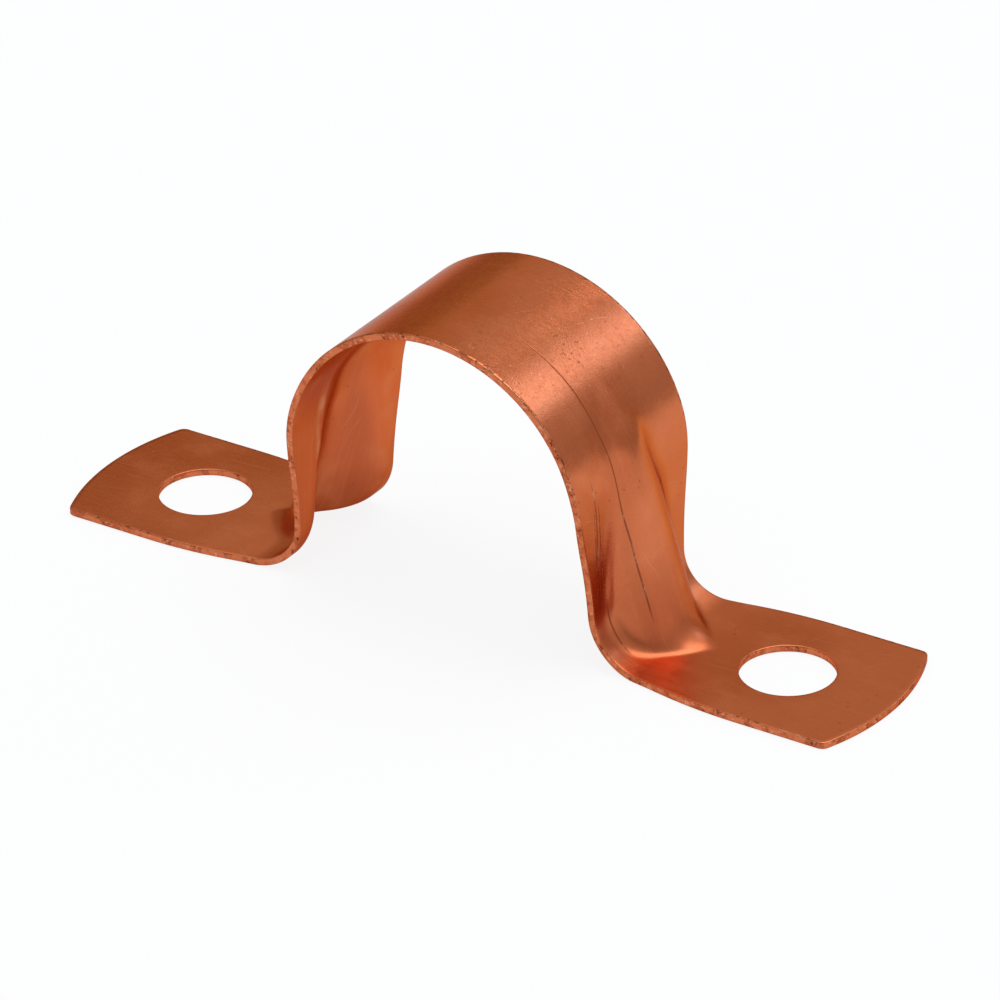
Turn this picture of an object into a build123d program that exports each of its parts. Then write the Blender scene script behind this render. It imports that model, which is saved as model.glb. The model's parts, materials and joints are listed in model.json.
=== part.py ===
from build123d import *
import os
from math import cos, radians, sin

# A two-hole pipe clip: one strip of sheet, bent over a tube and pressed with a rib in each leg.
# Millimetres. X runs along the strip, Y along the tube, Z up from the wall that the feet lie on.

# Sheet and tube
tube_diameter = 22.0
strap_width = 13.5
sheet_thickness = 0.5

# Side profile
arch_centre_height = 10.0
leg_splay_deg = 2.3
bend_radius = 3.3
overall_length = 62.0

# Feet
end_bulge = 1.4
corner_radius = 0.6
hole_diameter = 6.4
hole_pitch = 46.0

# Rib in each leg, a round bead that leans out to the foot and flows into the sheet around it.
# Its upper end bends into the arch about a hinge that lies just behind the bead.
rib_radius = 3.4
rib_root_radius = 1.5
rib_lean_deg = 16.6
rib_stand_at_shoulder = 0.8
rib_hinge_gap = 0.2

# The edges draw in beside the ribs, where the metal was pulled
draw_in_depth = 1.2
draw_in_length = 18.0
draw_in_rise = 1.0

arch_inner = tube_diameter / 2
arch_outer = arch_inner + sheet_thickness
half_length = overall_length / 2
half_width = strap_width / 2
arch_centre = Vector(0, arch_centre_height)

# The leg is tangent to the arch and to the bend, so the bend's centre follows from the other sizes.
leg_normal = Vector(cos(radians(leg_splay_deg)), sin(radians(leg_splay_deg)))
under_bend = bend_radius + sheet_thickness
bend_x = (arch_inner + under_bend + (arch_centre_height - under_bend) * leg_normal.Y) / leg_normal.X
bend_centre = Vector(bend_x, under_bend)

# The rib's crest runs straight from the shoulder, where it stands a little proud of the arch.
lean = radians(rib_lean_deg)
crest_normal = Vector(cos(lean), 0, sin(lean))
crest_run = Vector(sin(lean), 0, -cos(lean))
bead_distance = arch_outer + rib_stand_at_shoulder - rib_radius
bead_start = Vector(0, 0, arch_centre_height) + crest_normal * bead_distance
bead_length = (bead_start.Z + rib_radius) / cos(lean)
hinge = Axis(bead_start - crest_normal * (rib_radius + rib_hinge_gap), (0, -1, 0))
hinge_turn_deg = 75


def block_under(height):
    """The right half of all that lies under a skin this high above the sheet's underside."""
    far, deep = overall_length, -overall_length
    arch = CenterArc(arch_centre, arch_inner + height, leg_splay_deg, 90 - leg_splay_deg)
    bend = CenterArc(bend_centre, under_bend - height, 180 + leg_splay_deg, 90 - leg_splay_deg)
    leg = Line(arch @ 0, bend @ 0)
    ground = Polyline(bend @ 1, (far, height), (far, deep), (0, deep), arch @ 1)
    section = make_face([arch, leg, bend, *ground.edges()])
    block = extrude(Plane.XZ * section, strap_width, both=True)

    radius = rib_radius - sheet_thickness + height
    disc = Plane(origin=bead_start, z_dir=crest_run) * Circle(radius)
    rib = extrude(disc, bead_length, dir=crest_run) + revolve(disc, hinge, hinge_turn_deg)
    ribbed = block + rib
    roots = new_edges(block, rib, combined=ribbed).filter_by(GeomType.CIRCLE, reverse=True)
    return fillet(roots, rib_root_radius + sheet_thickness - height)


# The sheet is what lies under its upper skin, less what lies under its lower skin.
half_sheet = block_under(sheet_thickness) - block_under(0)
clip = half_sheet + half_sheet.mirror(Plane.YZ)

# Plan outline with bowed ends and eased corners
corner_x = half_length - end_bulge
right_end = ThreePointArc((corner_x, -half_width), (half_length, 0), (corner_x, half_width))
left_end = ThreePointArc((-corner_x, half_width), (-half_length, 0), (-corner_x, -half_width))
front_edge = Line((-corner_x, -half_width), (corner_x, -half_width))
back_edge = Line((corner_x, half_width), (-corner_x, half_width))
outline = make_face([front_edge, right_end, back_edge, left_end])
outline = fillet(outline.vertices(), corner_radius)
clip = clip & extrude(outline, 2 * arch_outer)

# Screw holes
for side in (1, -1):
    clip -= Pos(side * hole_pitch / 2, 0, 0) * Cylinder(hole_diameter / 2, 4 * sheet_thickness)

# Draw-in of both edges at each bend: three arcs that leave the straight edge and come back to it
# without a corner, cut along the line that halves the bend
reach = draw_in_length / 2
run_in = TangentArc((-reach, half_width), (-reach / 2, half_width - draw_in_depth / 2), tangent=(1, 0))
waist = TangentArc(run_in @ 1, (reach / 2, half_width - draw_in_depth / 2), tangent=run_in % 1)
run_out = TangentArc(waist @ 1, (reach, half_width), tangent=waist % 1)
clear = Polyline(run_out @ 1, (reach, strap_width), (-reach, strap_width), run_in @ 0)
bite = extrude(make_face([run_in, waist, run_out, *clear.edges()]), 4 * under_bend, both=True)
middle = bend_centre - Vector(1, 1) * (under_bend / 2**0.5) + Vector(-1, 1) * (draw_in_rise / 2**0.5)
cutter = Plane(origin=(middle.X, 0, middle.Y), x_dir=(-1, 0, 1), z_dir=(1, 0, 1)) * bite
pair = [cutter, cutter.mirror(Plane.XZ)]
clip -= pair + [side.mirror(Plane.YZ) for side in pair]

os.makedirs("parts", exist_ok=True)
export_step(clip.solid(), "parts/pipe_clip.step")
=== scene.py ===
# %% [markdown]
# # A copper pipe clip: blank, bend, press
# The clip is one strip of soft copper sheet. In the factory it is cut flat with two holes, bent over
# a former, and a rib is pressed out of each leg so that the legs don't fold when the screws pull.
# This lesson makes it in the same order. The imported CAD model is loaded first, as a fixed frame, and
# its box gives the sizes of the clip.

# %% Load the frame
import json
from math import atan2, cos, pi, radians, sin, sqrt, tan
import bpy
from mathutils import Matrix, Vector


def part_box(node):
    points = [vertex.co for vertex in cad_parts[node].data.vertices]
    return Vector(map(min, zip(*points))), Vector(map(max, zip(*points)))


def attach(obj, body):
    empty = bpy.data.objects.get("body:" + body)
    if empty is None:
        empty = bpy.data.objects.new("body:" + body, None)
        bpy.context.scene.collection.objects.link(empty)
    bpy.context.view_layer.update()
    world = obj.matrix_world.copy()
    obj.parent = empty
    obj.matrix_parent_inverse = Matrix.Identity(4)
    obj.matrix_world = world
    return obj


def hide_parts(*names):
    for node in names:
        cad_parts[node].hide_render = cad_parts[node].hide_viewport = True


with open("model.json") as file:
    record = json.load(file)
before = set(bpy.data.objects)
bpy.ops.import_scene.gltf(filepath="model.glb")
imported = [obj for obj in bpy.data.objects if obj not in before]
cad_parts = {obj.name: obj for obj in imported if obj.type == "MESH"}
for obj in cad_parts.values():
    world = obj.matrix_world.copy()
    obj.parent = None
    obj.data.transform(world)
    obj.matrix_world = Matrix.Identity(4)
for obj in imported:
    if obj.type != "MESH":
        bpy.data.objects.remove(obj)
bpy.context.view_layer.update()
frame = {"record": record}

MM = 0.001

# %% [markdown]
# ## Sizes
# The frame already knows the tube, the holes and the width, so they are read from its record and its
# box. Typing them again would let the scene and the CAD model drift apart.

# %% Sizes that the frame knows
mounts = {m["name"]: m for m in frame["record"]["mounts"]}
seat, hole = mounts["tube_seat"], mounts["screw_hole_right"]
low, high = (Vector(p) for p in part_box("pipe_clip"))
arch_in = seat["dims"]["r_mm"] * MM
arch_height = seat["pos_m"][2]
thickness = high.z - arch_height - arch_in
arch_out = arch_in + thickness
half_length, half_width = (high.x - low.x) / 2, (high.y - low.y) / 2
hole_x, hole_radius = hole["pos_m"][0], hole["dims"]["r_mm"] * MM
print(f"tube {2 * arch_in / MM:.1f} mm, strip {2 * half_width / MM:.1f} mm, sheet {thickness / MM:.2f} mm")

# %% [markdown]
# ## The side path
# Seen from the side, the upper skin is an arch, a straight leg, a bend and a straight foot. The leg
# touches both arcs, so only its splay and the bend's radius have to be chosen, and the lengths of the
# four stretches follow. Their sum is the length of the flat strip.

# %% Lengths along the strip
splay = radians(2.3)
bend = 3.3 * MM
turn = pi / 2 - splay
leg_normal = Vector((cos(splay), sin(splay)))
bend_z = bend + thickness
bend_x = (arch_out + bend + (arch_height - bend_z) * leg_normal.y) / leg_normal.x
leg_top = Vector((0, arch_height)) + leg_normal * arch_out
leg_end = Vector((bend_x, bend_z)) - leg_normal * bend
arch_run, leg_run, bend_run = arch_out * turn, (leg_end - leg_top).length, bend * turn
foot_from = arch_run + leg_run + bend_run
to_flat = foot_from - bend_x
print(f"strip: {2 * (half_length + to_flat) / MM:.1f} mm long when flat")

# %% [markdown]
# ## The flat blank
# A forming step needs a mesh that bends well, so the long middle of the blank is an even grid. The
# blank lies in its own flat plane: X is the distance along the strip from the crown, Y goes across.

# %% Grid of the long middle
CELL = 0.21 * MM
FAN_FROM = 18.2 * MM
grid_end = FAN_FROM + to_flat
columns = 2 * round(grid_end / CELL)
rows = 2 * round(half_width / CELL)
across = [half_width * (2 * j / rows - 1) for j in range(rows + 1)]
points, quads = [], []
for i in range(columns + 1):
    points += [(grid_end * (2 * i / columns - 1), y, 0.0) for y in across]
for i in range(columns):
    for j in range(rows):
        a = i * (rows + 1) + j
        quads.append((a, a + rows + 1, a + rows + 2, a + 1))
print("grid:", columns, "by", rows, "quads")

# %% [markdown]
# ## The end of a foot
# A real clip ends in a shallow bow with eased corners, so that it doesn't catch a hand or a cloth. Both
# are circular arcs, and where they meet follows from their radii, so the outline is written as points
# on those arcs: the front edge, one corner, the bow, and the front half again in mirror image.

# %% Outline of a foot
END_BULGE = 1.4 * MM
CORNER = 0.6 * MM
CORNER_STEPS, BOW_STEPS = 6, 48


def foot_outline():
    """The free outline of the right foot, from the front edge round its bowed end to the back edge."""
    bow = (half_width**2 + END_BULGE**2) / (2 * END_BULGE)
    bow_centre = half_length - bow
    inset = half_width - CORNER
    corner_x = bow_centre + sqrt((bow - CORNER) ** 2 - inset**2)
    straight = round((corner_x - FAN_FROM) / (2 * CELL))
    front = [(FAN_FROM + (corner_x - FAN_FROM) * k / straight, -half_width) for k in range(1, straight)]
    first, last = -pi / 2, atan2(-inset, corner_x - bow_centre)
    for k in range(CORNER_STEPS + 1):
        a = first + (last - first) * k / CORNER_STEPS
        front.append((corner_x + CORNER * cos(a), -inset + CORNER * sin(a)))
    bowed = []
    for k in range(1, BOW_STEPS):
        a = last - 2 * last * k / BOW_STEPS
        bowed.append((bow_centre + bow * cos(a), bow * sin(a)))
    return front + bowed + [(x, -y) for x, y in reversed(front)]


outline = foot_outline()
print("foot outline:", len(outline), "points")

# %% [markdown]
# ## The screw holes
# A boolean would cut a ragged ring of slivers into the grid. The foot stays flat for good, so it can be
# a fan of quads instead: every point of its outline is joined to the hole by a spoke, and the rings
# between them lie closer together near the hole. That gives a truly round hole.

# %% Fans of quads round the holes
RINGS = 16
CROWDING = 1.15
hole_flat = hole_x + to_flat
for side in (1, -1):
    seam = (columns if side > 0 else 0) * (rows + 1)
    spokes = [(points[v][0], points[v][1], v) for v in range(seam + rows, seam - 1, -1)]
    spokes += [(side * (x + to_flat), y, None) for x, y in outline]
    rings = []
    for s, y, shared in spokes:
        reach = Vector((s - side * hole_flat, y))
        start = reach.normalized() * hole_radius
        spoke = []
        for k in range(RINGS):
            at = start.lerp(reach, (k / RINGS) ** CROWDING)
            points.append((side * hole_flat + at.x, at.y, 0.0))
            spoke.append(len(points) - 1)
        if shared is None:
            points.append((s, y, 0.0))
            shared = len(points) - 1
        rings.append(spoke + [shared])
    for one, two in zip(rings, rings[1:] + rings[:1]):
        for k in range(RINGS):
            quad = (one[k], one[k + 1], two[k + 1], two[k])
            quads.append(quad if side > 0 else quad[::-1])
blank_mesh = bpy.data.meshes.new("blank")
blank_mesh.from_pydata(points, [], quads)
blank = bpy.data.objects.new("copper_strap", blank_mesh)
bpy.context.scene.collection.objects.link(blank)
print("blank:", len(points), "points,", len(quads), "quads")

# %% [markdown]
# ## Node maths in plain Python
# Both the forming of the strip and its finish are sums over many points, which Blender does in nodes.
# Drawing dozens of Math nodes by hand hides the formula, so this small class wraps a socket and lets
# Python's own operators add the nodes. `make` adds any other node: its settings go in first, because
# some of them change the sockets, and then the values or links of its inputs.

# %% A socket that Python can calculate with
class Flow:
    def __init__(self, tree, socket):
        self.tree, self.socket = tree, socket

    def make(self, kind, settings=None, inputs=None, output=0):
        node = self.tree.nodes.new(kind)
        for name, value in (settings or {}).items():
            setattr(node, name, value)
        for name, value in (inputs or {}).items():
            if isinstance(value, Flow):
                self.tree.links.new(value.socket, node.inputs[name])
            else:
                node.inputs[name].default_value = value
        return Flow(self.tree, node.outputs[output])

    def math(self, operation, *values):
        return self.make("ShaderNodeMath", {"operation": operation}, dict(enumerate(values)))

    def __add__(self, other):
        return self.math("ADD", self, other)

    def __sub__(self, other):
        return self.math("SUBTRACT", self, other)

    def __rsub__(self, other):
        return self.math("SUBTRACT", other, self)

    def __mul__(self, other):
        return self.math("MULTIPLY", self, other)

    def __truediv__(self, other):
        return self.math("DIVIDE", self, other)

    def __rtruediv__(self, other):
        return self.math("DIVIDE", other, self)

    def __lt__(self, other):
        return self.math("LESS_THAN", self, other)

    def __neg__(self):
        return self.math("SUBTRACT", 0, self)

    def __abs__(self):
        return self.math("ABSOLUTE", self)

    __radd__ = __add__
    __rmul__ = __mul__

    def at_least(self, other):
        return self.math("MAXIMUM", self, other)

    def at_most(self, other):
        return self.math("MINIMUM", self, other)

    def root(self):
        return self.math("SQRT", self.at_least(0))

    def choose(self, yes, no):
        return self * yes + (1 - self) * no

    def between(self, first, last):
        """A smooth step from 0 at the first value to 1 at the last one."""
        return self.make(
            "ShaderNodeMapRange",
            {"interpolation_type": "SMOOTHSTEP"},
            {"Value": self, "From Min": first, "From Max": last},
        )

    def within(self, start, full, fading, end):
        """A smooth plateau: it rises from the first value to the second and falls over the last two."""
        return self.between(start, full) * (1 - self.between(fading, end))


print("node maths: ready")

# %% [markdown]
# ## Bending
# The strip's shape follows a rule, so a Geometry Nodes tree forms it. First every point walks along
# the side path: round the arch, down the leg, round the bend and out along the foot. A clamped length
# for each stretch lets one sum serve the whole strip, with no seam where two stretches meet.

# %% Walk along the side path
def side_path(run):
    """Where a point of the upper skin lies, seen from the side, from its distance to the crown."""

    def stretch(start, length):
        return (run - start).at_least(0).at_most(length)

    arch_angle = stretch(0, arch_run) / arch_out
    leg = stretch(arch_run, leg_run)
    bend_angle = stretch(arch_run + leg_run, bend_run) / bend + splay
    foot = (run - foot_from).at_least(0)
    x = run.math("SINE", arch_angle) * arch_out + leg * sin(splay) + foot
    x = x + (cos(splay) - run.math("COSINE", bend_angle)) * bend
    z = run.math("COSINE", arch_angle) * arch_out + arch_height - leg * cos(splay)
    z = z - (run.math("SINE", bend_angle) - sin(splay)) * bend
    return x, z


stretches = {"arch": arch_run, "leg": leg_run, "bend": bend_run}
print("side path:", {name: round(length / MM, 2) for name, length in stretches.items()}, "mm")

# %% [markdown]
# ## Drawn-in edges
# The press pulls the metal for the rib out of the strip's edges, which draw in beside it. Each bite is
# three arcs that leave the straight edge and come back to it without a corner, measured along the line
# that halves the bend. Scaling the whole row of points keeps the grid even, which a cut would not.

# %% Draw the edges in
DRAW_IN = {
    "Draw-in depth": 1.2 * MM,
    "Draw-in length": 18.0 * MM,
    "Draw-in rise": 1.0 * MM,
}


def drawn_in(x, y, z, size):
    """The place across the strip after the edge has been drawn in."""
    slant = abs(((z - bend_z) - (x - bend_x)) / sqrt(2) - size["Draw-in rise"])
    depth, reach = size["Draw-in depth"], size["Draw-in length"] / 2
    arc = (reach * reach + depth * depth) / (depth * 4)
    left = (reach - slant).at_least(0)
    waist = depth - arc + (arc * arc - slant * slant).root()
    run_out = arc - (arc * arc - left * left).root()
    bite = (slant < reach / 2).choose(waist, run_out)
    return y * (1 - bite / half_width)


print("draw-in:", {name: round(value / MM, 2) for name, value in DRAW_IN.items()}, "mm")

# %% [markdown]
# ## The pressed rib
# The rib is a round-nosed bead that stiffens the leg. Its crest runs straight from the shoulder to the
# foot, where it lands with a short sweep. At the top it is bent into the arch: the crest turns into a
# long ramp, and the bead and its root both open out until they melt into the sheet. Each point is
# lifted towards a pivot out in front of the leg, because lifting along the sheet's own normal would
# make the mesh cross itself inside the bend.

# %% Press the rib
RIB = {
    "Rib radius": 3.4 * MM,
    "Rib root": 1.5 * MM,
    "Rib lean": radians(16.6),
    "Rib stand": 0.8 * MM,
    "Rib run-in": 5.5 * MM,
    "Rib flare": 2.4,
    "Rib ease": 3.0 * MM,
    "Foot ease": 3.0 * MM,
}
PIVOT = Vector((32.0, 30.0)) * MM
BEAD_OPENS = (12.5 * MM, 18.0 * MM)
ROOT_OPENS = (6.0 * MM, 15.0 * MM)
SWEEP_ENDS = (1.5 * MM, 8.0 * MM)
RAMP_START = 1.085


def crest_lift(x, z, ex, ez, size):
    """How far a point in the middle of the strip is lifted to lie on the rib's crest."""
    nx, nz = x.math("COSINE", size["Rib lean"]), x.math("SINE", size["Rib lean"])
    up, stand, ease = z - arch_height, size["Rib stand"], size["Rib ease"]
    crest = (stand + arch_out - nx * x - nz * up) / (nx * ex + nz * ez)
    above = (up + ez * crest) * nx - (x + ex * crest) * nz
    ramp = stand * RAMP_START * (1 - above.between(-ease, size["Rib run-in"]))
    lift = above.between(-ease, ease).choose(ramp, crest).at_least(0)
    sweep = (size["Foot ease"] - lift - (-crest).at_least(0)).at_least(0)
    return lift + sweep * sweep / (size["Foot ease"] * 4) * (1 - z.between(*SWEEP_ENDS))


def pressed_rib(x, y, z, size):
    """The push that the press gives to a point, along X and along Z."""
    to_x, to_z = PIVOT.x - x, PIVOT.y - z
    away = (to_x * to_x + to_z * to_z).root()
    ex, ez = to_x / away, to_z / away
    lift = crest_lift(x, z, ex, ez, size)
    radius = size["Rib radius"] * (1 + size["Rib flare"] * z.between(*BEAD_OPENS))
    root = size["Rib root"] * (1 + size["Rib flare"] * z.between(*ROOT_OPENS))
    off = abs(y)
    foot_print = (lift * ((radius + root) * 2 - lift)).root()
    crown = lift - radius + (radius * radius - off * off).root()
    inside = (foot_print - off).at_least(0)
    flank = root - (root * root - inside * inside).root()
    height = (off < foot_print * radius / (radius + root)).choose(crown, flank)
    height = (off < foot_print).choose(height, 0)
    return ex * height, ez * height


print("pivot of the press:", [round(c / MM, 1) for c in PIVOT], "mm")

# %% [markdown]
# ## The forming tree
# One tree holds all three steps, with the sizes of the press as its named inputs. Before the points
# move, each one's place on the flat strip is stored on the mesh, so that the finish can later follow
# the strip round its bends.

# %% Build the forming tree
def forming_tree(name, sizes, material):
    tree = bpy.data.node_groups.new(name, "GeometryNodeTree")
    tree.interface.new_socket("Geometry", in_out="INPUT", socket_type="NodeSocketGeometry")
    for label, value in sizes.items():
        socket = tree.interface.new_socket(label, in_out="INPUT", socket_type="NodeSocketFloat")
        socket.default_value = value
    tree.interface.new_socket("Geometry", in_out="OUTPUT", socket_type="NodeSocketGeometry")
    entry = tree.nodes.new("NodeGroupInput")
    size = {label: Flow(tree, entry.outputs[label]) for label in sizes}
    shaped = Flow(tree, entry.outputs["Geometry"])
    flat = shaped.make("ShaderNodeSeparateXYZ", inputs={0: shaped.make("GeometryNodeInputPosition")})
    s, y = (Flow(tree, flat.socket.node.outputs[axis]) for axis in ("X", "Y"))
    x, z = side_path(abs(s))
    y = drawn_in(x, y, z, size)
    push_x, push_z = pressed_rib(x, y, z, size)
    for label, value in (("strip_s", s), ("strip_y", y)):
        shaped = shaped.make(
            "GeometryNodeStoreNamedAttribute",
            {"data_type": "FLOAT", "domain": "POINT"},
            {"Geometry": shaped, "Name": label, "Value": value},
        )
    place = {0: s.math("SIGN", s) * (x + push_x), 1: y, 2: z + push_z}
    place = shaped.make("ShaderNodeCombineXYZ", inputs=place)
    shaped = shaped.make("GeometryNodeSetPosition", inputs={"Geometry": shaped, "Position": place})
    shaped = shaped.make("GeometryNodeRealizeInstances", inputs={"Geometry": shaped})
    shaped = shaped.make("GeometryNodeSetMaterial", inputs={"Geometry": shaped, "Material": material})
    leave = tree.nodes.new("NodeGroupOutput")
    tree.links.new(shaped.socket, leave.inputs["Geometry"])
    return tree


PRESS = RIB | DRAW_IN
print("forming tree:", len(PRESS), "named sizes")

# %% [markdown]
# ## Copper
# Fresh copper is never one colour. Rolling leaves fine lines along the strip, air turns it brown in
# soft clouds, and handling adds straight hair scratches. All of it is made from noise that is read
# either in Object coordinates or along the strip, through the `strip_s` and `strip_y` values that the
# forming tree stores. `Finish` collects colour, gloss and height while layers are added, with the
# height in metres, so that one Bump at the end serves them all.

# %% A finish that is built up in layers
SHADER = {
    "Metallic": 1.0,
    "Coat Weight": 0.12,
    "Coat Roughness": 0.2,
    "Specular Tint": (0.66, 0.32, 0.20, 1),
}
SMOOTHEST, ROUGHEST = 0.08, 0.9


class Finish:
    def __init__(self, name, colour, gloss):
        self.material = bpy.data.materials.new(name)
        self.material.use_nodes = True
        self.tree = self.material.node_tree
        self.here = Flow(self.tree, self.tree.nodes.new("ShaderNodeTexCoord").outputs["Object"])
        self.s, self.y = (
            self.here.make("ShaderNodeAttribute", {"attribute_name": label}, output="Fac")
            for label in ("strip_s", "strip_y")
        )
        self.colour, self.gloss, self.height = colour, gloss, 0.0

    def vector(self, x, y, z):
        return self.here.make("ShaderNodeCombineXYZ", inputs={0: x, 1: y, 2: z})

    def noise(self, vector, scale, detail=1.0, rough=0.55):
        inputs = {"Vector": vector, "Scale": scale, "Detail": detail, "Roughness": rough}
        return self.here.make("ShaderNodeTexNoise", {"noise_dimensions": "3D"}, inputs, "Fac")

    def patches(self, scale, low, high, detail=1.0):
        """Soft-edged patches where the noise passes from the low value to the high one."""
        return self.noise(self.here, scale, detail).between(low, high)

    def specks(self, scale, reach):
        """Round specks, one at the middle of each Voronoi cell."""
        inputs = {"Vector": self.here, "Scale": scale, "Randomness": 1.0}
        far = self.here.make("ShaderNodeTexVoronoi", {"feature": "F1"}, inputs, "Distance")
        return 1 - far.between(reach / 3, reach)

    def layer(self, amount, colour=None, gloss=0.0, height=0.0):
        """Lay a mask on: blend in a colour, shift the roughness, and raise or sink the surface."""
        if colour:
            settings = {"data_type": "RGBA", "clamp_factor": True}
            inputs = {0: amount, 6: self.colour, 7: colour}
            self.colour = self.here.make("ShaderNodeMix", settings, inputs, 2)
        if gloss:
            self.gloss = self.gloss + amount * gloss
        if height:
            self.height = self.height + amount * height

    def done(self):
        shader = self.tree.nodes["Principled BSDF"]
        for name, value in SHADER.items():
            shader.inputs[name].default_value = value
        heights = {"Height": self.height, "Distance": 1.0, "Strength": 1.0}
        bump = self.here.make("ShaderNodeBump", inputs=heights)
        gloss = self.gloss.at_least(SMOOTHEST).at_most(ROUGHEST)
        for name, value in (("Base Color", self.colour), ("Roughness", gloss), ("Normal", bump)):
            self.tree.links.new(value.socket, shader.inputs[name])
        return self.material


print("finish: roughness from", SMOOTHEST, "to", ROUGHEST)

# %% [markdown]
# ## Scratches and tool lines
# A hair scratch is short, thin and straight. The strip is cut into narrow lanes in some direction, each
# lane into lengths, and a random number per length says whether a scratch lies there and where in the
# lane. That stays sharp at any distance and needs no picture. A tool line is simpler: it follows the
# strip at a fixed distance from its middle, and wanders a little.

# %% Marks along the strip
WAVER = {"scale": 220, "detail": 0.0}
LINE_WANDER, LINE_FADE = 0.2 * MM, 1.5 * MM


def hairs(finish, angle, lane, length, width, share, seed):
    along = finish.s * cos(angle) + finish.y * sin(angle)
    over = finish.y * cos(angle) - finish.s * sin(angle)
    over = over + (finish.noise(finish.vector(along, over, seed), **WAVER) - 0.5) * (lane * 1.5)
    row = over / lane
    row_number = row.math("FLOOR", row)
    piece = along / length + row_number * 0.37
    piece_number = piece.math("FLOOR", piece)
    where = {"Vector": finish.vector(row_number, piece_number, seed)}
    dice = finish.here.make("ShaderNodeTexWhiteNoise", {"noise_dimensions": "3D"}, where, "Color")
    dice = finish.here.make("ShaderNodeSeparateXYZ", inputs={0: dice}).socket.node
    chance, place, depth = (Flow(finish.tree, dice.outputs[axis]) for axis in ("X", "Y", "Z"))
    off = abs(row - row_number - 0.2 - place * 0.6) * lane
    taper = (piece - piece_number).within(0, 0.25, 0.7, 1)
    return (1 - off.between(width / 3, width)) * (chance < share) * taper * (0.3 + depth * 0.7)


def tool_line(finish, place, width, first, last, seed):
    wander = (finish.noise(finish.vector(finish.s, 0.0, seed), 150) - 0.5) * LINE_WANDER
    mark = 1 - abs(finish.y - place - wander).between(width / 4, width)
    return mark * finish.s.within(first, first + LINE_FADE, last - LINE_FADE, last)


print("marks: hair scratches and tool lines")

# %% [markdown]
# ## Rolled sheet
# Both skins come from the same rolls. Broad brown blooms and brighter clouds lie over a fine mottle,
# lines run along the strip, and small pits collect dirt. The broad noise also gives the height a slow
# wave, as thin sheet is never quite flat. The colours are linear values, as Blender's sockets take them.

# %% The base of both skins
UM = 0.001 * MM
COPPER = (0.66, 0.178, 0.070, 1)
# Redder under-skin colour: a painted reflection of light bounced inside the legs.
PAINTED_REFLECTION_RED = (0.66, 0.150, 0.052, 1)
BRIGHT = (0.75, 0.225, 0.095, 1)
DULL = (0.47, 0.098, 0.030, 1)
DIRT = (0.07, 0.022, 0.012, 1)
BLOOM_SCALE, CLOUD_SCALE, MOTTLE_SCALE, PIT_SCALE = 80, 260, 2100, 1250
LINES_ALONG, LINES_ACROSS = 60, 4600


def roll(finish, tarnish, lined):
    bloom = finish.noise(finish.here, BLOOM_SCALE)
    cloud = finish.noise(finish.here, CLOUD_SCALE, detail=3.0)
    mottle = finish.noise(finish.here, MOTTLE_SCALE, detail=2.0, rough=0.65)
    rolling = finish.vector(finish.s * LINES_ALONG, finish.y * LINES_ACROSS, 0.3)
    lines = finish.noise(rolling, 1.0, rough=0.6)
    pits = finish.specks(PIT_SCALE, 0.17) * finish.patches(300, 0.54, 0.64)
    finish.layer(bloom.between(0.38, 0.66) * tarnish, DULL, gloss=0.06)
    finish.layer(cloud.between(0.46, 0.74) * 0.55, BRIGHT, gloss=-0.05)
    finish.layer((lines - 0.5) * lined, BRIGHT, gloss=0.10, height=1.0 * UM)
    finish.layer(mottle - 0.5, gloss=0.16, height=1.3 * UM)
    finish.layer(bloom, height=60 * UM)
    finish.layer(cloud, gloss=0.10, height=15 * UM)
    finish.layer(pits * 0.3, DIRT, gloss=0.2, height=-3 * UM)


print("rolled sheet: rolling lines", round(1 / LINES_ACROSS / MM, 2), "mm apart")

# %% [markdown]
# ## Upper skin: the bright face
# The upper skin is the bright face. Where the tool pressed on the crown it has a coarser grain, raised
# specks and small scabs. The bends were stretched and lost some shine, the shear left a broken burr
# along both edges, and across the arch the strip bows a little, which widens its highlight.

# %% Grain, burr and crossbow
PALE = (0.86, 0.46, 0.30, 1)
SCORED = (0.26, 0.055, 0.02, 1)
CROSSBOW = 2.2
upper = Finish("copper_skin", COPPER, gloss=0.185)
roll(upper, tarnish=0.55, lined=0.5)
from_crown = abs(upper.s)
on_crown = upper.s.within(-2 * MM, 3 * MM, 8 * MM, 14 * MM)
on_bend = from_crown.within(22 * MM, 26 * MM, 30 * MM, 37 * MM)
on_arch = 1 - from_crown.between(13 * MM, 20 * MM)
on_burr = abs(upper.y).between(6.5 * MM, 6.7 * MM)
patch = upper.patches(190, 0.44, 0.62)
grain = upper.noise(upper.here, 6400, rough=0.6) - 0.5
upper.layer(grain * (0.35 + patch * 0.5 + on_crown * (0.5 + patch)), gloss=0.15, height=4.6 * UM)
specks = upper.specks(2100, 0.20) * upper.patches(420, 0.50, 0.62) * on_crown
upper.layer(specks * 0.5, PALE, gloss=-0.05, height=5 * UM)
scabs = upper.patches(2700, 0.64, 0.70) * on_crown * (0.4 + patch * 0.6)
upper.layer(scabs * 0.55, SCORED, gloss=0.1, height=-7 * UM)
upper.layer(on_bend, gloss=0.10)
upper.layer(on_burr * upper.patches(2300, 0.50, 0.60) * 0.8, DIRT, gloss=0.2, height=-5 * UM)
upper.layer(on_burr * upper.patches(2900, 0.56, 0.64) * 0.35, PALE, height=5 * UM)
upper.layer(upper.y * upper.y * on_arch, height=CROSSBOW)
print("upper skin: rolled,", len(upper.tree.nodes), "nodes so far")
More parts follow.
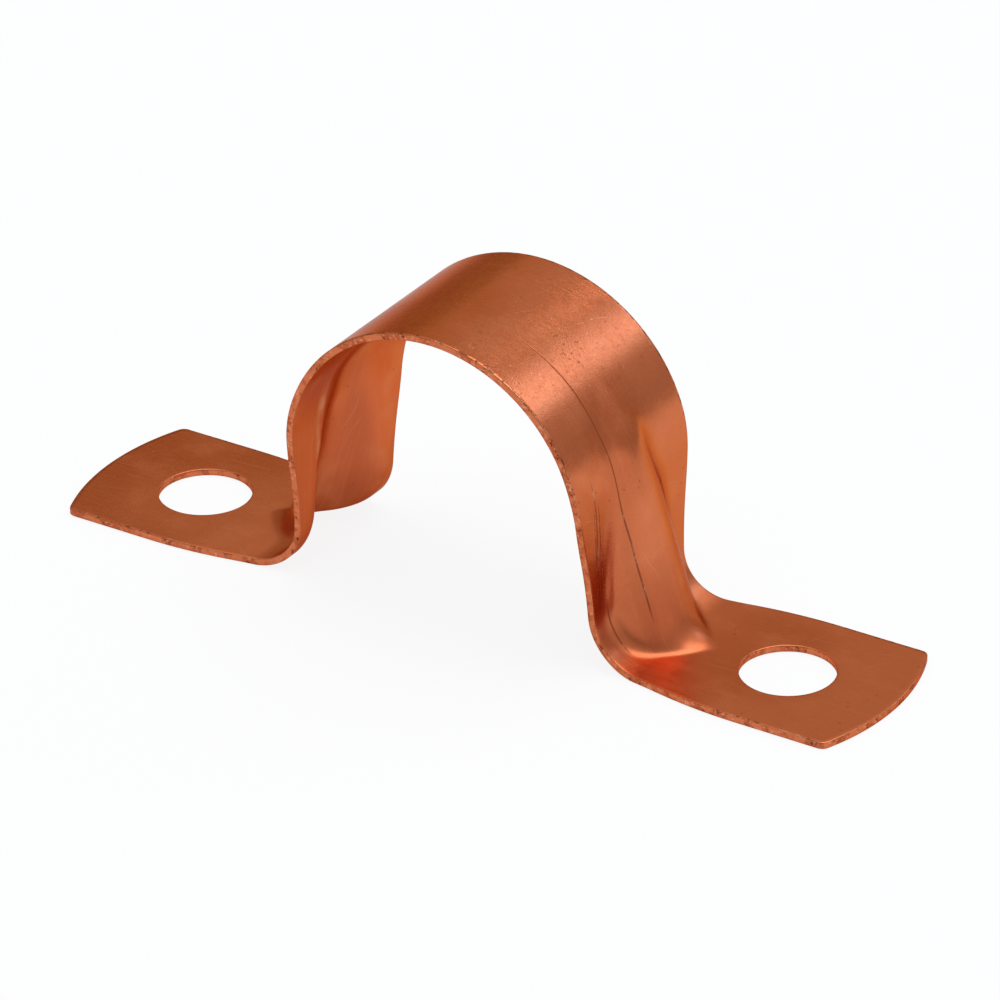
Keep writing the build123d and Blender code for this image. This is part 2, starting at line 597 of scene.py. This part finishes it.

# %% [markdown]
# ## Upper skin: marks of the press
# Sheet that slides over a die is scored where it slides. One long line runs down the front of the right
# leg, the back of the rib is worn and carries a painted pale highlight, and a few short rub lines lie
# in the hollow beside the rib.
# Hair scratches from handling cross all of it. The lines are scored dark first and then flecked with
# bare metal, because a real score is never one even stroke.

# %% Hairs, press line and rub lines
# Pale colour for the back of the rib: wear and a painted highlight.
PALE_WEAR_AND_HIGHLIGHT = (0.62, 0.30, 0.20, 1)
HAIR_WIDTH = 0.028 * MM
HAIRS = (  # angle, lane, length, share, seed
    (0.10, 1.1 * MM, 4.0 * MM, 0.05, 2.1),
    (1.15, 1.3 * MM, 2.2 * MM, 0.07, 5.3),
    (-0.6, 1.6 * MM, 3.0 * MM, 0.08, 8.7),
)
PRESS_LINE = (-2.35 * MM, 0.075 * MM, 4.5 * MM, 28.0 * MM, 4.0)
RUB_LINES = (  # place across the strip, width, first, last, seed
    (-4.75 * MM, 0.10 * MM, 14.5 * MM, 25.0 * MM, 6.0),
    (-4.95 * MM, 0.06 * MM, 16.0 * MM, 23.0 * MM, 7.0),
    (-4.05 * MM, 0.09 * MM, 23.5 * MM, 28.5 * MM, 9.0),
    (-4.40 * MM, 0.06 * MM, 16.0 * MM, 24.0 * MM, 12.0),
)
for angle, lane, length, share, seed in HAIRS:
    hair = hairs(upper, angle, lane, length, HAIR_WIDTH, share, seed)
    upper.layer(hair * 0.28, PALE, gloss=0.05, height=-1.4 * UM)
press_line = tool_line(upper, *PRESS_LINE)
upper.layer(press_line * 0.85, SCORED, gloss=0.15, height=-10 * UM)
fleck = upper.noise(upper.vector(upper.s, upper.y * 4, 1.0), 520, detail=3.0, rough=0.7)
upper.layer(press_line * fleck.between(0.52, 0.68) * 0.45, PALE, gloss=-0.1, height=4 * UM)
# Pale band along the rib's back flank: wear plus a painted highlight.
wear_and_highlight = 1 - abs(upper.y - 1.95 * MM).between(0.1 * MM, 0.45 * MM)
wear_and_highlight = wear_and_highlight * upper.s.within(14 * MM, 18 * MM, 24 * MM, 28 * MM)
wear_and_highlight = wear_and_highlight * upper.patches(900, 0.36, 0.6, detail=2.0)
upper.layer(wear_and_highlight * 0.45, PALE_WEAR_AND_HIGHLIGHT, gloss=0.12, height=-2 * UM)
for line in RUB_LINES:
    place, seed = line[0], line[-1]
    rub = tool_line(upper, *line)
    upper.layer(rub * 0.75, SCORED, gloss=0.1, height=-8 * UM)
    bare = upper.noise(upper.vector(upper.s, place, seed), 420, detail=3.0, rough=0.7)
    upper.layer(rub * bare.between(0.5, 0.7) * 0.6, PALE)
skin = upper.done()
print("upper skin:", skin.name, len(upper.tree.nodes), "nodes")

# %% [markdown]
# ## Under skin
# The under skin never touched the polished tool and stays duller, with deeper rolling lines. Its redder
# colour is a painted reflection of the light that bounces between the copper faces inside the legs.
# Inside each leg, the ridge where the sheet was folded over the edge of the punch gets a pale line:
# a painted highlight.

# %% Under skin, painted redder for bounced light
# Painted reflection: the redder base stands in for light bounced inside the legs.
lower = Finish("copper_under", PAINTED_REFLECTION_RED, gloss=0.28)
roll(lower, tarnish=0.85, lined=0.8)
# Painted highlight: a pale line along the inner ridge of the rib.
painted_ridge_highlight = 1 - abs(lower.y + 3.3 * MM).between(0.1 * MM, 0.6 * MM)
painted_ridge_highlight = painted_ridge_highlight * abs(lower.s).within(13 * MM, 17 * MM, 23 * MM, 28 * MM)
painted_ridge_highlight = painted_ridge_highlight * lower.patches(700, 0.3, 0.6, detail=2.0)
lower.layer(painted_ridge_highlight * 0.5, PALE, gloss=0.08, height=3 * UM)
hair = hairs(lower, 0.05, 0.7 * MM, 5.0 * MM, 0.03 * MM, 0.08, 3.3)
lower.layer(hair * 0.3, PALE, gloss=0.05, height=-1.5 * UM)
under = lower.done()
print("under skin:", under.name, len(lower.tree.nodes), "nodes")

# %% [markdown]
# ## Cut edge
# A sheared edge is smooth for the first part of the cut and torn for the rest. At this size both read
# as a coarse grain, with bright flecks and dark specks of dirt, so two noises of different scale do it.

# %% Torn edge
sheared = Finish("copper_cut_edge", COPPER, gloss=0.34)
grit = sheared.noise(sheared.here, 4200, detail=2.0, rough=0.6)
torn = sheared.noise(sheared.here, 1300, detail=2.0, rough=0.6)
sheared.layer(torn.between(0.42, 0.62) * 0.8, DULL, gloss=0.10, height=22 * UM)
sheared.layer(grit - 0.5, gloss=0.25, height=20 * UM)
sheared.layer(grit.between(0.58, 0.68) * 0.5, PALE, gloss=-0.1)
dirty = grit.between(0.42, 0.34) * torn.between(0.5, 0.58)
sheared.layer(dirty * 0.85, DIRT, gloss=0.2, height=-8 * UM)
cut = sheared.done()
print("cut edge:", cut.name, len(sheared.tree.nodes), "nodes")

# %% [markdown]
# ## From blank to formed skin
# The tree is put on the blank as a modifier, with its sizes set by the sockets' identifiers, and the
# formed skin is turned into a plain mesh, which no longer depends on the tree.

# %% Form the strip
tree = forming_tree("bend_and_press", PRESS, skin)
press = blank.modifiers.new("press", "NODES")
press.node_group = tree
for item in tree.interface.items_tree:
    if item.in_out == "INPUT" and item.name in PRESS:
        press[item.identifier] = PRESS[item.name]


def freeze(obj, name):
    """Turn an object and its modifiers into a plain mesh."""
    depsgraph = bpy.context.evaluated_depsgraph_get()
    formed = obj.evaluated_get(depsgraph)
    mesh = bpy.data.meshes.new_from_object(formed, preserve_all_data_layers=True, depsgraph=depsgraph)
    mesh.name = name
    obj.modifiers.clear()
    obj.data = mesh
    return mesh


skin_mesh = freeze(blank, "copper_strap_skin")
print("formed skin:", len(skin_mesh.polygons), "faces")

# %% [markdown]
# ## Thickness and edge
# Solidify gives the sheet its thickness inwards, so the tube seat keeps its radius, and puts the other
# two finishes on the under skin and on the cut edge. A small Bevel then takes the razor edge off both
# sides of the cut: it is what catches the light along a real edge.

# %% Thicken the sheet and ease its edges
EDGE_WEAR = 0.06 * MM
skin_mesh.materials.clear()
for material in (skin, under, cut):
    skin_mesh.materials.append(material)
sheet = blank.modifiers.new("sheet", "SOLIDIFY")
sheet.thickness = thickness
sheet.offset = -1
sheet.use_even_offset = True
sheet.material_offset = 1
sheet.material_offset_rim = 2
soften = blank.modifiers.new("soften", "BEVEL")
soften.width = EDGE_WEAR
soften.segments = 2
soften.limit_method = "ANGLE"
soften.angle_limit = radians(50)
strap_mesh = freeze(blank, "copper_strap")
strap_mesh.polygons.foreach_set("use_smooth", [True] * len(strap_mesh.polygons))
spans = [max(row) - min(row) for row in zip(*(vertex.co for vertex in strap_mesh.vertices))]
print("clip:", len(strap_mesh.polygons), "faces", [round(span / MM, 2) for span in spans], "mm")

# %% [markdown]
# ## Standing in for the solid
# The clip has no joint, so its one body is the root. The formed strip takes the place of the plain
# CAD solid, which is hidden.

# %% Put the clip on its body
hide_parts("pipe_clip")
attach(blank, "root")
print("rides on root:", blank.name)

# %% [markdown]
# ## Floor
# A pale floor fills the clip from below and keeps its shadow. It is partly an emitter, but only to the
# camera and, at half strength, to mirror-like rays: so the background comes out nearly white without
# any more light falling on the copper. It lies a hair lower than the feet, so that the faces don't fight.

# %% Pale floor
FLOOR_HALF, FLOOR_DROP = 3.0, 0.02 * MM
FLOOR_GREY, FLOOR_GLOW, IN_MIRROR = (0.86, 0.86, 0.86, 1), 0.88, 0.5


def floor_material(name):
    material = bpy.data.materials.new(name)
    material.use_nodes = True
    tree = material.node_tree
    tree.nodes.clear()
    ray = tree.nodes.new("ShaderNodeLightPath")
    seen = Flow(tree, ray.outputs["Is Camera Ray"])
    for other in ("Is Glossy Ray", "Is Transmission Ray"):
        seen = seen.at_least(Flow(tree, ray.outputs[other]) * IN_MIRROR)
    matt = seen.make("ShaderNodeBsdfDiffuse", inputs={"Color": FLOOR_GREY})
    white = seen.make("ShaderNodeEmission", inputs={"Color": (1, 1, 1, 1), "Strength": 1.0})
    mixed = seen.make("ShaderNodeMixShader", inputs={0: seen * FLOOR_GLOW, 1: matt, 2: white})
    leave = tree.nodes.new("ShaderNodeOutputMaterial")
    tree.links.new(mixed.socket, leave.inputs["Surface"])
    return material


floor_mesh = bpy.data.meshes.new("floor")
ends = ((-1, -1), (1, -1), (1, 1), (-1, 1))
floor_corners = [(x * FLOOR_HALF, y * FLOOR_HALF, -FLOOR_DROP) for x, y in ends]
floor_mesh.from_pydata(floor_corners, [], [(0, 1, 2, 3)])
floor_mesh.materials.append(floor_material("pale_floor"))
floor = bpy.data.objects.new("floor", floor_mesh)
bpy.context.scene.collection.objects.link(floor)
print("floor:", 2 * FLOOR_HALF, "m wide")

# %% [markdown]
# ## Light
# A shiny piece shows its surroundings more than itself, so the room matters as much as the lamps. One
# small softbox behind the clip lays the bright band along the arch, and a broad light overhead shapes
# the rest. The band's light is cool, because copper turns white light orange.

# %% Softboxes
AIM = Vector((0, 0, 0.008))


def softbox(name, place, size, watts, colour):
    lamp = bpy.data.lights.new(name, "AREA")
    lamp.shape = "RECTANGLE"
    lamp.size, lamp.size_y = size
    lamp.energy = watts
    lamp.color = colour
    box = bpy.data.objects.new(name, lamp)
    box.location = place
    box.rotation_euler = (Vector(place) - AIM).normalized().to_track_quat("Z", "Y").to_euler()
    bpy.context.scene.collection.objects.link(box)


softbox("band", place=(0.185, 0.43, 0.31), size=(0.20, 0.13), watts=0.13, colour=(0.74, 1.0, 1.45))
softbox("top", place=(0.10, 0.12, 0.80), size=(0.8, 0.8), watts=4.2, colour=(0.92, 1.0, 1.12))

# %% [markdown]
# ## Room
# The room is a plain grey that is a little lighter above, with a bright low window on the right that
# shines along the outer face of the leg. Two screens stand out of the camera's sight: a narrow dark
# one in front gives the rib's lower end something dark to show, and a grey one behind calms the left.

# %% Grey room and screens
LOW_GREY, HIGH_GREY, WINDOW = ((grey, grey, grey, 1) for grey in (0.44, 0.60, 0.95))
SCREEN_AWAY, SCREEN_STEPS = 1.2, 4
world = bpy.data.worlds.new("grey_room")
world.use_nodes = True
room = Flow(world.node_tree, world.node_tree.nodes.new("ShaderNodeTexCoord").outputs["Generated"])
beside, above = (room.make("ShaderNodeSeparateXYZ", inputs={0: room}, output=axis) for axis in ("X", "Z"))
window = beside.between(0.80, 0.96) * (1 - above.between(0.08, 0.3))
grey = LOW_GREY
for amount, other in ((above.between(0.0, 0.6), HIGH_GREY), (window, WINDOW)):
    grey = room.make("ShaderNodeMix", {"data_type": "RGBA"}, {0: amount, 6: grey, 7: other}, 2)
world.node_tree.links.new(grey.socket, world.node_tree.nodes["Background"].inputs["Color"])
bpy.context.scene.world = world
bpy.context.scene.view_settings.view_transform = "Standard"


def cloth(name, bearings, angles, grey):
    """A curved screen round the set, between two bearings and between two angles above the floor."""
    first, last = bearings
    turns = [radians(first + (last - first) * k / SCREEN_STEPS) for k in range(SCREEN_STEPS + 1)]
    heights = [SCREEN_AWAY * tan(radians(a)) for a in angles]
    corners = [(SCREEN_AWAY * cos(a), SCREEN_AWAY * sin(a), z) for a in turns for z in heights]
    faces = [(k, k + 2, k + 3, k + 1) for k in range(0, 2 * SCREEN_STEPS, 2)]
    mesh = bpy.data.meshes.new(name)
    mesh.from_pydata(corners, [], faces)
    material = bpy.data.materials.new(name)
    material.use_nodes = True
    shader = material.node_tree.nodes["Principled BSDF"]
    shader.inputs["Base Color"].default_value = (grey, grey, grey, 1)
    shader.inputs["Roughness"].default_value = 0.9
    mesh.materials.append(material)
    screen = bpy.data.objects.new(name, mesh)
    screen.visible_camera = False
    bpy.context.scene.collection.objects.link(screen)


cloth("dark_curtain", bearings=(-74, -47), angles=(12, 48), grey=0.04)
cloth("grey_curtain", bearings=(127, 200), angles=(6, 28), grey=0.60)
print("room:", world.name, "with two screens", SCREEN_AWAY, "m away")

# %% [markdown]
# ## Camera
# The camera stands far off with a long lens, as in the photo, so the clip's edges stay nearly parallel.
# Its angles, its lens and its place were fitted to the photo together with the clip's proportions. The
# place is given in strip widths, because a photo by itself has no scale.

# %% Camera
AZIMUTH, ELEVATION, ROLL = radians(33.346), radians(28.984), radians(-1.019)
DISTANCE, ASIDE, RAISED = 32.3573, 0.0519, 0.4193
LENS_PX, IMAGE_PX = 6578.27, 1000
back = Vector((sin(AZIMUTH) * cos(ELEVATION), -cos(AZIMUTH) * cos(ELEVATION), sin(ELEVATION)))
level = Vector((cos(AZIMUTH), sin(AZIMUTH), 0))
upward = back.cross(level)
right = level * cos(ROLL) + upward * sin(ROLL)
top = upward * cos(ROLL) - level * sin(ROLL)
camera_data = bpy.data.cameras.new("camera")
camera_data.sensor_width = 36.0
camera_data.lens = camera_data.sensor_width * LENS_PX / IMAGE_PX
camera_data.clip_start = 0.01
camera = bpy.data.objects.new("camera", camera_data)
stand = (back * DISTANCE + right * ASIDE + top * RAISED) * (2 * half_width)
camera.matrix_world = Matrix.Translation(stand) @ Matrix((right, top, back)).transposed().to_4x4()
bpy.context.scene.collection.objects.link(camera)
bpy.context.scene.camera = camera
print("camera:", [round(c, 3) for c in stand], "m, lens", round(camera_data.lens, 1), "mm")
